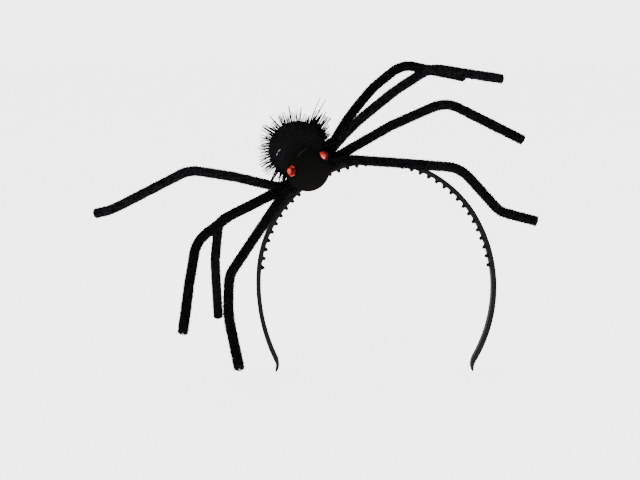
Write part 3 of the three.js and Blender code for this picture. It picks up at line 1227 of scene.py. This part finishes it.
class Obstacles:
    """Solids that press into a ball from outside."""

    def __init__(self, nodes: Iterable[bpy.types.Object]) -> None:
        """Gathers the solids' surfaces into one tree.

        Args:
            nodes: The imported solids.
        """
        points: list[Vector] = []
        faces: list[tuple[int, ...]] = []
        for node in nodes:
            start = len(points)
            points.extend(v.co.copy() for v in node.data.vertices)
            faces.extend(tuple(start + i for i in p.vertices) for p in node.data.polygons)
        self.tree = BVHTree.FromPolygons(points, faces)

    def reach(self, centre: Array, ways: Array, limit: float, gap: float) -> Array:
        """How far one can go from a centre.

        Args:
            centre: The ball's middle.
            ways: Unit directions.
            limit: The ball's own radius.
            gap: Air kept before a solid.

        Returns:
            A distance for each direction.
        """
        found = []
        for way in ways:
            hit = self.tree.ray_cast(Vector(centre * MM), Vector(way), (limit + gap) * MM)
            found.append(limit if hit[3] is None else min(limit, hit[3] / MM - gap))
        return np.array(found)


@dataclass(frozen=True)
class Body:
    """Sizes and places of the spider's two balls, in its own frame."""

    crown: Crown
    head_diameter: float = 24.6
    head_height: float = 6.5
    abdomen_diameter: float = 32.8
    abdomen_height: float = 16.8

    @property
    def head_place(self) -> Array:
        """Middle of the head, against the band's front edge.

        Returns:
            The point in the spider's frame.
        """
        reach = self.head_diameter / 2 + self.crown.clearance
        standoff = math.sqrt(reach**2 - self.head_height**2)
        return np.array([0.0, -self.crown.width / 2 - standoff, self.head_height])

    @property
    def abdomen_place(self) -> Array:
        """Middle of the abdomen, against the head.

        Returns:
            The point in the spider's frame.
        """
        spacing = (self.head_diameter + self.abdomen_diameter) / 2 + self.crown.clearance
        rise = self.abdomen_height - self.head_height
        return self.head_place + np.array([0.0, math.sqrt(spacing**2 - rise**2), rise])

    @property
    def axis(self) -> Array:
        """Way from head to abdomen."""
        return unit(self.abdomen_place - self.head_place)


@dataclass
class Stone:
    """A round flat-backed stone in the head."""

    body: Body
    name: str
    side: Side
    spread: float
    rise: float
    # Angle round the stone of its painted highlight, and the painted brightness of its table
    painted_glint: float
    table: float
    diameter: float = 6.0
    height: float = 2.8
    seat_depth: float = 0.6
    # Painted highlight on the far side, the least painted light on the crown, and the most on the
    # painted-shade rim
    far_painted_glint: float = 0.55
    least_painted_light: float = 0.2
    painted_rim_shade: float = 0.12

    def facing(self) -> Array:
        """Way that the stone looks, in the spider's frame.

        Returns:
            The unit way.
        """
        spread, rise = math.radians(self.spread), math.radians(self.rise)
        return np.array(
            [
                self.side.value * math.cos(rise) * math.sin(spread),
                -math.cos(rise) * math.cos(spread),
                math.sin(rise),
            ]
        )

    def cut(self) -> Shape:
        """Table, star, kite and girdle facets over a flat back.

        Returns:
            The stone's points and faces.
        """
        radius = self.diameter / 2
        # Corners, share of the radius, share of the height, and turn in corners, ring by ring
        levels = (
            (16, 0.90, 0.0, 0.0),
            (16, 1.0, 0.16, 0.0),
            (16, 1.0, 0.26, 0.0),
            (8, 0.80, 0.68, 0.0),
            (8, 0.52, 1.0, 0.5),
        )
        rings = []
        for sides, share, height, turn in levels:
            angle = 2 * math.pi * (np.arange(sides) + turn) / sides
            ring = [np.cos(angle) * share * radius, np.sin(angle) * share * radius]
            rings.append(np.stack([*ring, np.full(sides, height * self.height)], axis=-1))
        back, low, girdle, kite, table = np.cumsum([0, 16, 16, 16, 8])
        faces: list[tuple[int, ...]] = [tuple(back + k for k in range(16))[::-1]]
        for k in range(16):
            n = (k + 1) % 16
            faces.append((back + k, back + n, low + n, low + k))
            faces.append((low + k, low + n, girdle + n, girdle + k))
        for k in range(8):
            n = (k + 1) % 8
            faces.append((girdle + 2 * k, girdle + 2 * k + 1, kite + k))
            faces.append((girdle + 2 * k + 1, girdle + (2 * k + 2) % 16, kite + n))
            faces.append((kite + k, girdle + 2 * k + 1, kite + n, table + k))
            faces.append((kite + n, table + n, table + k))
        faces.append(tuple(table + k for k in range(8)))
        points = np.concatenate(rings)
        way = self.body.crown.turned(self.facing())
        side = unit(np.cross((0.0, 0.0, 1.0), way))
        up = np.cross(way, side)
        foot = self.body.head_diameter / 2 - self.seat_depth + self.body.crown.clearance
        centre = self.body.crown.placed(self.body.head_place) + way * foot
        shape = Shape()
        shape.points.append(centre + points[:, :1] * side + points[:, 1:2] * up + points[:, 2:] * way)
        shape.faces = [np.array([f]) for f in faces]
        return shape

    def painted_facet_light(self) -> Array:
        """Painted light on each facet in the order of cut: painted shade on a dark rim, a painted
        highlight on one bright side, a deep table.

        Returns:
            A number from 0 to 1 for each facet.
        """
        rng = np.random.default_rng(STONE_SEED + self.side.value)
        # Crown facets get a painted highlight by their turn from the glint angle, and a weaker one on the
        # far side
        turns = np.radians(360 / 8 * np.array([0.0, 1.0, 0.5, 1.0]) + 360 / 16 * np.array([1, -1, 0, 0]))
        tiers = np.array([1.0, 1.0, 0.6, 0.35])
        crown = []
        for k in range(8):
            angles = turns + math.radians(45.0 * k) - math.radians(self.painted_glint)
            near = np.maximum(np.cos(angles), 0.0) ** 3
            far = self.far_painted_glint * np.maximum(-np.cos(angles), 0.0) ** 5
            bright = tiers * np.maximum(near, far)
            crown.extend(lerp(self.least_painted_light, 1.0, bright) + rng.uniform(-0.1, 0.1, 4))
        # The back and the rim get painted shade
        rim = [0.0] + list(rng.uniform(0.0, self.painted_rim_shade, 32))
        return np.clip(np.array([*rim, *crown, self.table]), 0.0, 1.0)

    def build(self, material: bpy.types.Material) -> None:
        """Makes the stone, with a number for each facet that its painted light follows.

        Args:
            material: The stones' finish.
        """
        made = self.cut().piece(self.name + "_stone", material, 1.0)
        painted_facet_light = made.data.attributes.new("facet", "FLOAT", "FACE")
        painted_facet_light.data.foreach_set("value", self.painted_facet_light())
        settle(made, "red_stone", self.name)


def surface_line(centre: Array, radius: float, ways: tuple[tuple[float, float], ...]) -> Route:
    """Line that lies on a ball through ways given by their angle from the front and their lean."""
    points = centre + np.array([front_way(*way) for way in ways]) * radius
    return Route(points, 0.5)


def add_thin_tube(name: str, line: Route, width: float, finish: Fibre, slot: str) -> None:
    """Makes a single thin tube that lies along a line.

    Args:
        name: The piece's name.
        line: Where it lies.
        width: Its width.
        finish: Its fibre.
        slot: Its material slot.
    """
    strand = Shape()
    strand.skin(line.tube(np.full(len(line.points), width / 2), 6))
    settle(strand.piece(name, finish.material(), 60.0), slot)


@dataclass
class Head:
    """The smooth front ball."""

    body: Body
    obstacles: Obstacles
    rings: int = 72
    eye_margin: float = 0.4
    # Width of a thin grey line over the head's upper left, and the ways it passes through
    grey_line_width: float = 1.4
    grey_line: tuple[tuple[float, float], ...] = ((127.0, 40.0), (109.0, 30.0), (91.0, 18.0))

    def ball(self, stones: tuple[Stone, ...]) -> Shape:
        """The ball, pressed in by the stems and the band and cut flat under the stones.

        Args:
            stones: The stones that sit in it.

        Returns:
            The ball's points and faces.
        """
        crown = self.body.crown
        centre = crown.placed(self.body.head_place)
        radius = self.body.head_diameter / 2
        ways = ball_ways(self.rings)
        flat = ways.reshape(-1, 3)
        reach = self.obstacles.reach(centre, flat, radius, crown.clearance)
        for stone in stones:
            facing = crown.turned(stone.facing())
            depth = radius - stone.seat_depth
            cosine = np.clip(flat @ facing, 1e-3, 1.0)
            across = depth * np.sqrt(1 / cosine**2 - 1)
            seat = (cosine > 0.5) & (across < stone.diameter / 2 + self.eye_margin)
            reach = np.where(seat, np.minimum(reach, depth / cosine), reach)
        shape = Shape()
        shape.skin((centre + flat * reach[:, None]).reshape(*ways.shape)[:, ::-1][::-1])
        return shape

    def build(self, stones: tuple[Stone, ...]) -> None:
        """Makes the head.

        Args:
            stones: The stones that sit in it.
        """
        made = self.ball(stones).piece("head_ball", FlockedFoam().material(), 35.0)
        settle(made, "head_flock", "head")
        # A thin grey line laid over the head's upper left
        centre = self.body.crown.placed(self.body.head_place)
        line = surface_line(centre, self.body.head_diameter / 2 - self.grey_line_width / 4, self.grey_line)
        add_thin_tube("head_grey_line", line, self.grey_line_width, GREY_LINE_FINISH, "head_flock")


@dataclass(frozen=True)
class Spray:
    """Bristles that stand out of the ball's outline seen from the front.

    Angles are in degrees from the right, up being 90. reach is in shares of a bristle's length.
    """

    roots: tuple[float, float]
    grows: tuple[float, float]
    reach: tuple[float, float]
    count: int
    width: float = 1.0
    lean: float = 0.0


SPRAYS = (
    Spray(roots=(0, 14), grows=(20, 45), reach=(0.4, 0.7), count=16, width=1.2, lean=-4),
    Spray(roots=(10, 26), grows=(24, 50), reach=(0.2, 0.5), count=34, width=1.2),
    Spray(roots=(14, 30), grows=(35, 52), reach=(0.5, 0.9), count=8, width=1.4),
    Spray(roots=(30, 48), grows=(48, 60), reach=(1.0, 1.7), count=10, width=1.5),
    Spray(roots=(29, 49), grows=(46, 62), reach=(0.4, 0.8), count=12, width=1.2),
    Spray(roots=(48, 65), grows=(57, 68), reach=(0.9, 1.6), count=9, width=1.5),
    Spray(roots=(44, 62), grows=(54, 66), reach=(0.5, 1.1), count=8, width=1.1),
    Spray(roots=(60, 66), grows=(62, 66), reach=(2.4, 2.7), count=2, width=1.3),
    Spray(roots=(66, 80), grows=(72, 84), reach=(0.6, 1.1), count=4, width=1.2),
    Spray(roots=(84, 86), grows=(86, 88), reach=(1.1, 1.3), count=1, width=1.8),
    Spray(roots=(90, 99), grows=(88, 98), reach=(0.7, 1.1), count=3, width=1.2),
    Spray(roots=(101, 103), grows=(94, 98), reach=(1.2, 1.5), count=1, width=1.8),
    Spray(roots=(106, 122), grows=(98, 116), reach=(0.7, 1.2), count=5, width=1.2),
    Spray(roots=(126, 129), grows=(128, 131), reach=(1.2, 1.5), count=1, width=2.2),
    Spray(roots=(132, 151), grows=(134, 152), reach=(0.8, 1.3), count=7, width=1.4),
    Spray(roots=(154, 167), grows=(162, 186), reach=(0.7, 1.2), count=6, width=1.5),
    Spray(roots=(169, 195), grows=(182, 208), reach=(0.6, 1.1), count=10, width=1.5),
    Spray(roots=(197, 217), grows=(210, 228), reach=(0.8, 1.4), count=8, width=1.5),
    Spray(roots=(50, 206), grows=(50, 212), reach=(0.06, 0.14), count=260, width=1.0),
    Spray(roots=(204, 252), grows=(216, 258), reach=(0.1, 0.28), count=90, lean=10),
    Spray(roots=(219, 220), grows=(237, 239), reach=(1.4, 1.5), count=1, width=2.2, lean=10),
    Spray(roots=(226, 227), grows=(240, 242), reach=(1.3, 1.4), count=1, width=2.2, lean=10),
    Spray(roots=(233, 234), grows=(254, 257), reach=(1.2, 1.3), count=1, width=2.2, lean=10),
    Spray(roots=(239, 255), grows=(248, 262), reach=(1.0, 1.2), count=8, width=1.8, lean=14),
    Spray(roots=(40, 62), grows=(51, 63), reach=(0.8, 1.5), count=7, width=1.3),
)


@dataclass
class Abdomen:
    """The ball wound with eyelash yarn."""

    body: Body
    obstacles: Obstacles
    strand: float = 1.3
    winding_pitch: float = 1.25
    points_in_turn: int = 72
    strand_sides: int = 8
    strand_swell: float = 0.08
    slow_waver: float = 0.16
    fast_waver: float = 0.12
    second_depth: float = 0.25
    second_skew: Place = (0.22, 0.0, 0.16)
    core_rings: int = 40
    core_depth: float = 0.8
    clumps: int = 130
    bristles_in_clump: int = 3
    fuzz: int = 700
    fuzz_width: float = 0.36
    head_cap: float = 48.0
    seat_cap: float = 52.0
    length: float = 6.4
    bristle_width: float = 0.62
    bristle_bend: float = 0.1
    tip_share: float = 0.6
    root_depth: float = 1.0
    shortest: float = 1.5
    spray_lean: float = 6.0
    spray_spread: tuple[float, float] = (3.0, 4.0)
    seed: int = 11
    pale_width: float = 0.36
    pale: tuple[tuple[float, float], ...] = ((191.0, 41.0), (181.0, 47.0), (171.0, 53.0))

    @property
    def centre(self) -> Array:
        """Middle of the ball in the part's frame."""
        return self.body.crown.placed(self.body.abdomen_place)

    @property
    def radius(self) -> float:
        """Outer radius of the windings."""
        return self.body.abdomen_diameter / 2

    def winding(self, axis: Array, phase: float, depth: float) -> Array:
        """Centreline of one layer of yarn wound round an axis.

        Args:
            axis: The winding's axis.
            phase: Angle of its start.
            depth: How far under the outside it lies.

        Returns:
            Points along it.
        """
        turns = math.pi * self.radius / self.winding_pitch
        count = int(turns * self.points_in_turn)
        share = (np.arange(count) + 0.5) / count
        polar = math.pi * share
        angle = phase + 2 * math.pi * turns * share
        side = unit(np.cross(axis, (0.3, 0.2, 0.9)))
        other = np.cross(axis, side)
        ways = (
            axis * np.cos(polar)[:, None]
            + side * (np.sin(polar) * np.cos(angle))[:, None]
            + other * (np.sin(polar) * np.sin(angle))[:, None]
        )
        rough = self.slow_waver * np.sin(angle * 0.37 + 1.3) + self.fast_waver * np.sin(angle * 1.73)
        gap = self.body.crown.clearance + self.strand / 2
        limit = self.radius + self.body.crown.clearance
        reach = self.obstacles.reach(self.centre, ways, limit, gap)
        reach = np.minimum(reach, self.radius - self.strand / 2 - depth + rough)
        return self.centre + ways * reach[:, None]

    def yarn(self) -> Shape:
        """The core and its windings.

        Returns:
            The points and faces of both.
        """
        shape = Shape()
        main = self.body.crown.turned(self.body.axis)
        skewed = unit(main + self.body.crown.turned(np.array(self.second_skew)))
        for axis, phase, depth in ((main, 0.0, 0.0), (skewed, 2.0, self.second_depth)):
            line = Route(self.winding(axis, phase, depth), 1.0)
            runs = np.arange(len(line.points))
            radii = self.strand / 2 * (1 + self.strand_swell * np.sin(runs * 0.9))
            shape.skin(line.tube(radii, self.strand_sides))
        ways = ball_ways(self.core_rings)
        gap = self.body.crown.clearance + self.strand * self.core_depth / 2
        reach = self.obstacles.reach(self.centre, ways.reshape(-1, 3), self.radius, gap)
        reach = np.minimum(reach, self.radius - self.strand * self.core_depth)
        shape.skin((self.centre + ways.reshape(-1, 3) * reach[:, None]).reshape(*ways.shape)[::-1, ::-1])
        return shape

    def spread_ways(self, count: int, rng: np.random.Generator) -> Array:
        """Directions over the ball, without those under the head or down on the crossing.

        Args:
            count: Ways over the whole ball.
            rng: Source of its unevenness.

        Returns:
            The ways that are kept.
        """
        golden = math.pi * (3 - math.sqrt(5))
        height = 1 - 2 * (np.arange(count) + 0.5) / count
        around = np.sqrt(1 - height**2)
        turn = golden * np.arange(count)
        ways = np.stack([around * np.cos(turn), around * np.sin(turn), height], axis=-1)
        ways = unit(ways + rng.normal(0, 0.07, ways.shape))
        keep = ways @ self.body.axis > -math.cos(math.radians(self.head_cap))
        keep &= ways[:, 2] > -math.cos(math.radians(self.seat_cap))
        return self.body.crown.turned(ways[keep])

    def bristles(self) -> Shape:
        """Loose clumps of bristle, fine fuzz between them, and the sprays of the table.

        Returns:
            Their points and faces.
        """
        rng = np.random.default_rng(self.seed)
        shape = Shape()
        for way in self.spread_ways(self.clumps, rng):
            main = unit(way + rng.normal(0, 0.14, 3))
            reach = self.length * rng.uniform(0.6, 1.2)
            for _ in range(rng.integers(1, self.bristles_in_clump + 1)):
                start = unit(way + rng.normal(0, 0.09, 3))
                end = unit(main + rng.normal(0, 0.1, 3))
                self.bristle(shape, start, end, reach * rng.uniform(0.7, 1.1), rng.uniform(0.6, 1.0), rng)
        for way in self.spread_ways(self.fuzz, rng):
            end = unit(way + rng.normal(0, 0.2, 3))
            self.bristle(shape, way, end, self.length * rng.uniform(0.4, 1.0), self.fuzz_width, rng)
        for number, spray in enumerate(SPRAYS):
            rng = np.random.default_rng((self.seed, number))
            for k in range(spray.count):
                share = (k + rng.uniform(0.2, 0.8)) / spray.count
                lean = rng.normal(spray.lean, self.spray_lean)
                start = front_way(lerp(*spray.roots, share), lean)
                front_turn, lean_turn = (rng.normal(0, spread) for spread in self.spray_spread)
                end = front_way(lerp(*spray.grows, share) + front_turn, lean + lean_turn)
                length = self.length * lerp(*spray.reach, rng.random())
                self.bristle(shape, start, end, length, spray.width * rng.uniform(0.8, 1.1), rng)
        return shape

    def bristle(
        self, shape: Shape, start: Array, end: Array, length: float, width: float, rng: np.random.Generator
    ) -> None:
        """Adds one bristle.

        Args:
            shape: Where it goes.
            start: Way from the ball's middle to its root.
            end: Way that it grows.
            length: Its length beyond the ball.
            width: Its width at the root as a share of a full bristle's.
            rng: Source of its unevenness.
        """
        root = self.centre + start * (self.radius - self.root_depth)
        limit = length + self.root_depth
        free = self.obstacles.reach(root, end[None], limit, self.body.crown.clearance)[0]
        if free < self.root_depth + self.shortest:
            return
        shares = np.linspace(0.0, 1.0, 6)
        bend = np.cross(end, unit(rng.normal(0, 1, 3))) * rng.uniform(0.0, self.bristle_bend) * free
        line = root + end * (free * shares)[:, None] + bend * (shares**2)[:, None]
        radii = self.bristle_width / 2 * width * lerp(1.0, self.tip_share, shares)
        shape.skin(Route(line, free / (len(shares) - 1)).tube(radii, 3))

    def build(self) -> None:
        """Makes the wound yarn and its bristles."""
        made = self.yarn().piece("abdomen_yarn", WoundYarn().material(), 60.0)
        settle(made, "eyelash_yarn", "abdomen")
        settle(self.bristles().piece("abdomen_bristles", BRISTLE.material(), 80.0), "eyelash_yarn")
        # A stray strand over the ball, its pale colour a painted highlight
        line = surface_line(self.centre, self.radius, self.pale)
        add_thin_tube("abdomen_pale_strand", line, self.pale_width, PAINTED_HIGHLIGHT_STRAND, "eyelash_yarn")


@dataclass
class Studio:
    """White studio: floor, soft lights and the camera."""

    camera_place: Place = (-73.2, -887.54, 60.9)
    aim: Place = (-32.02, 0.0, -43.58)
    lens: float = 88.94
    sensor: float = 36.0
    lit: Place = (-30.0, 0.0, -30.0)
    floor_drop: float = 0.4
    floor_size: float = 60.0
    front_strength: float = 0.4
    back_strength: float = 4.4

    def camera(self) -> None:
        """The camera at the photograph's place."""
        data = bpy.data.cameras.new("camera")
        data.lens = self.lens
        data.sensor_width = self.sensor
        data.clip_start = 0.05
        data.clip_end = 200.0
        made = bpy.data.objects.new("camera", data)
        self.aimed(made, Vector(self.camera_place) * MM, Vector(self.aim) * MM)
        bpy.context.scene.camera = made

    def aimed(self, made: bpy.types.Object, place: Vector, aim: Vector) -> None:
        """Puts a camera or a light in its place, turned to what it looks at.

        Args:
            made: The camera or light.
            place: Its place in metres.
            aim: What it looks at, in metres.
        """
        made.location = place
        made.rotation_euler = (aim - place).to_track_quat("-Z", "Y").to_euler()
        bpy.context.scene.collection.objects.link(made)

    def floor(self) -> None:
        """A plain floor just under the band's tips."""
        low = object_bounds()[0][2] - self.floor_drop * MM
        half = self.floor_size / 2
        mesh = bpy.data.meshes.new("floor")
        corners = [(-half, -half, low), (half, -half, low), (half, half, low), (-half, half, low)]
        mesh.from_pydata(corners, [], [(0, 1, 2, 3)])
        mesh.materials.append(PaleFloor().material())
        made = bpy.data.objects.new("floor", mesh)
        bpy.context.scene.collection.objects.link(made)
        made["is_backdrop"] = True

    def light(self, name: str, place: Place, size: float, power: float) -> None:
        """A soft square light aimed at the spider.

        Args:
            name: The light's name.
            place: Its place in metres.
            size: Its side in metres.
            power: Its power in watts.
        """
        data = bpy.data.lights.new(name, "AREA")
        data.shape = "SQUARE"
        data.size = size
        data.energy = power
        self.aimed(bpy.data.objects.new(name, data), Vector(place), Vector(self.lit) * MM)

    def world(self) -> None:
        """White all round, brightest behind the headband."""
        world = bpy.data.worlds.new("white_studio")
        graph = Graph(world)
        way = graph.node("ShaderNodeTexCoord", {}, {}, output="Generated")
        toward_back = {"Value": way.part("Y"), "From Min": -0.2, "From Max": 0.9}
        strengths = {"To Min": self.front_strength, "To Max": self.back_strength}
        strength = graph.node("ShaderNodeMapRange", {}, {**toward_back, **strengths})
        white = {"Color": (1.0, 1.0, 1.0, 1.0), "Strength": strength}
        background = graph.node("ShaderNodeBackground", {}, white)
        graph.node("ShaderNodeOutputWorld", {}, {"Surface": background})
        bpy.context.scene.world = world

    def build(self) -> None:
        """Makes everything round the headband."""
        self.camera()
        self.world()
        self.light("key", (-0.9, -1.3, 1.5), 0.9, 22.0)
        self.light("fill", (1.5, -0.8, 0.7), 0.8, 9.0)
        LOG.info("studio ready")


def main() -> None:
    """Builds the headband round the frame, piece by piece."""
    logging.basicConfig(level=logging.INFO, format="%(name)s: %(message)s")
    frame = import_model()
    studio = Studio()
    studio.build()
    studio.floor()
    crown = Crown()
    body = Body(crown)
    nodes = frame["nodes"]
    pressing = Obstacles(nodes[name] for name in ("hair_band", *(row[0] for row in STEMS)))
    HairBand(crown).build()
    pile, wire = PILE.material(), WireEnd().material()
    for index, (name, left, right) in enumerate(STEMS):
        ChenilleStem(crown, name, index, left, right).build(pile, wire)
    # Glint angles and table brightness place each stone's painted highlight
    stones = (
        Stone(body, "eye_left", Side.LEFT, spread=42.0, rise=18.0, painted_glint=-105.0, table=0.68),
        Stone(body, "eye_right", Side.RIGHT, spread=65.0, rise=14.0, painted_glint=190.0, table=0.38),
    )
    Head(body, pressing).build(stones)
    foil = RedStone().material()
    for stone in stones:
        stone.build(foil)
    Abdomen(body, pressing).build()
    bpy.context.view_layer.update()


if __name__ == "__main__":
    main()
